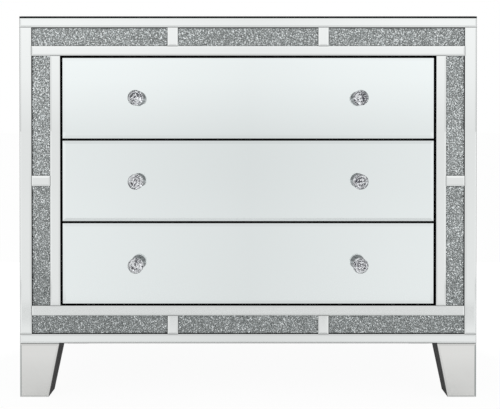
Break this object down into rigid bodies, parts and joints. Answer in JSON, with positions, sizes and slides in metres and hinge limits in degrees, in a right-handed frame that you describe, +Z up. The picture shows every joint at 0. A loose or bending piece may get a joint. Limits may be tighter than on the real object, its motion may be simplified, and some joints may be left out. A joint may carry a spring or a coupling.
{
  "type": "mirrored chest of drawers",
  "caption": "Low chest of drawers faced in bevelled mirror with crushed-crystal bands, cut-glass knobs, telescopic drawer runners and short tapered legs.",
  "frame": {"origin": "on the floor, in the middle of the chest's whole footprint with its knobs", "axes": "+X to the right as seen from the front, +Y towards the back, +Z up"},
  "size_m": [0.9, 0.458, 0.752],
  "materials": {
    "mirror_glass": "silvered float glass with ground bevels",
    "crushed_crystal": "crushed glass chips over silver",
    "black_frame": "board painted satin black",
    "case_board": "board painted dark grey",
    "back_board": "thin board painted dark grey",
    "leg_paint": "charcoal satin paint",
    "drawer_box": "board painted dark grey",
    "drawer_bottom": "thin board lined in dark grey",
    "runner_steel": "zinc-plated folded steel",
    "fastener_steel": "zinc-plated steel",
    "knob_crystal": "clear cut glass",
    "knob_chrome": "polished chrome plate"
  },
  "bodies": {
    "carcass": {"top_mirror": "mirror_glass", "left_side_mirror": "mirror_glass", "right_side_mirror": "mirror_glass", "outer_long_strips": "mirror_glass", "inner_long_strips": "mirror_glass", "outer_side_strips": "mirror_glass", "inner_side_strips": "mirror_glass", "divider_tiles": "mirror_glass", "leg_front_mirrors": "mirror_glass", "leg_side_mirrors": "mirror_glass", "crystal_long_bands": "crushed_crystal", "crystal_side_bands": "crushed_crystal", "front_top_rail": "black_frame", "front_bottom_rail": "black_frame", "front_left_stile": "black_frame", "front_right_stile": "black_frame", "drawer_rails": "black_frame", "base_board": "case_board", "top_board": "case_board", "left_side_panel": "case_board", "right_side_panel": "case_board", "left_inner_panel": "case_board", "right_inner_panel": "case_board", "back_panel": "back_board", "front_left_leg": "leg_paint", "front_right_leg": "leg_paint", "rear_left_leg": "leg_paint", "rear_right_leg": "leg_paint", "leg_bolts": "fastener_steel", "cabinet_runners": "runner_steel"},
    "lower_drawer": {"lower_drawer_front_board": "black_frame", "lower_drawer_front_mirror": "mirror_glass", "lower_drawer_left_side": "drawer_box", "lower_drawer_right_side": "drawer_box", "lower_drawer_back": "drawer_box", "lower_drawer_bottom": "drawer_bottom", "lower_drawer_runners": "runner_steel", "lower_knob_crystals": "knob_crystal", "lower_knob_fittings": "knob_chrome"},
    "lower_members": {"lower_telescopic_members": "runner_steel"},
    "middle_drawer": {"middle_drawer_front_board": "black_frame", "middle_drawer_front_mirror": "mirror_glass", "middle_drawer_left_side": "drawer_box", "middle_drawer_right_side": "drawer_box", "middle_drawer_back": "drawer_box", "middle_drawer_bottom": "drawer_bottom", "middle_drawer_runners": "runner_steel", "middle_knob_crystals": "knob_crystal", "middle_knob_fittings": "knob_chrome"},
    "middle_members": {"middle_telescopic_members": "runner_steel"},
    "upper_drawer": {"upper_drawer_front_board": "black_frame", "upper_drawer_front_mirror": "mirror_glass", "upper_drawer_left_side": "drawer_box", "upper_drawer_right_side": "drawer_box", "upper_drawer_back": "drawer_box", "upper_drawer_bottom": "drawer_bottom", "upper_drawer_runners": "runner_steel", "upper_knob_crystals": "knob_crystal", "upper_knob_fittings": "knob_chrome"},
    "upper_members": {"upper_telescopic_members": "runner_steel"}
  },
  "joints": [
    {"name": "lower_drawer_slide", "type": "slide", "parent": "carcass", "child": "lower_drawer", "axis": [0, -1, 0], "range_m": [0, 0.32]},
    {"name": "lower_member_slide", "type": "slide", "parent": "carcass", "child": "lower_members", "axis": [0, -1, 0], "range_m": [0, 0.16]},
    {"name": "middle_drawer_slide", "type": "slide", "parent": "carcass", "child": "middle_drawer", "axis": [0, -1, 0], "range_m": [0, 0.32]},
    {"name": "middle_member_slide", "type": "slide", "parent": "carcass", "child": "middle_members", "axis": [0, -1, 0], "range_m": [0, 0.16]},
    {"name": "upper_drawer_slide", "type": "slide", "parent": "carcass", "child": "upper_drawer", "axis": [0, -1, 0], "range_m": [0, 0.32]},
    {"name": "upper_member_slide", "type": "slide", "parent": "carcass", "child": "upper_members", "axis": [0, -1, 0], "range_m": [0, 0.16]}
  ],
  "couplings": [
    {"joint": "lower_member_slide", "follows": "lower_drawer_slide", "ratio": 0.5},
    {"joint": "middle_member_slide", "follows": "middle_drawer_slide", "ratio": 0.5},
    {"joint": "upper_member_slide", "follows": "upper_drawer_slide", "ratio": 0.5}
  ]
}
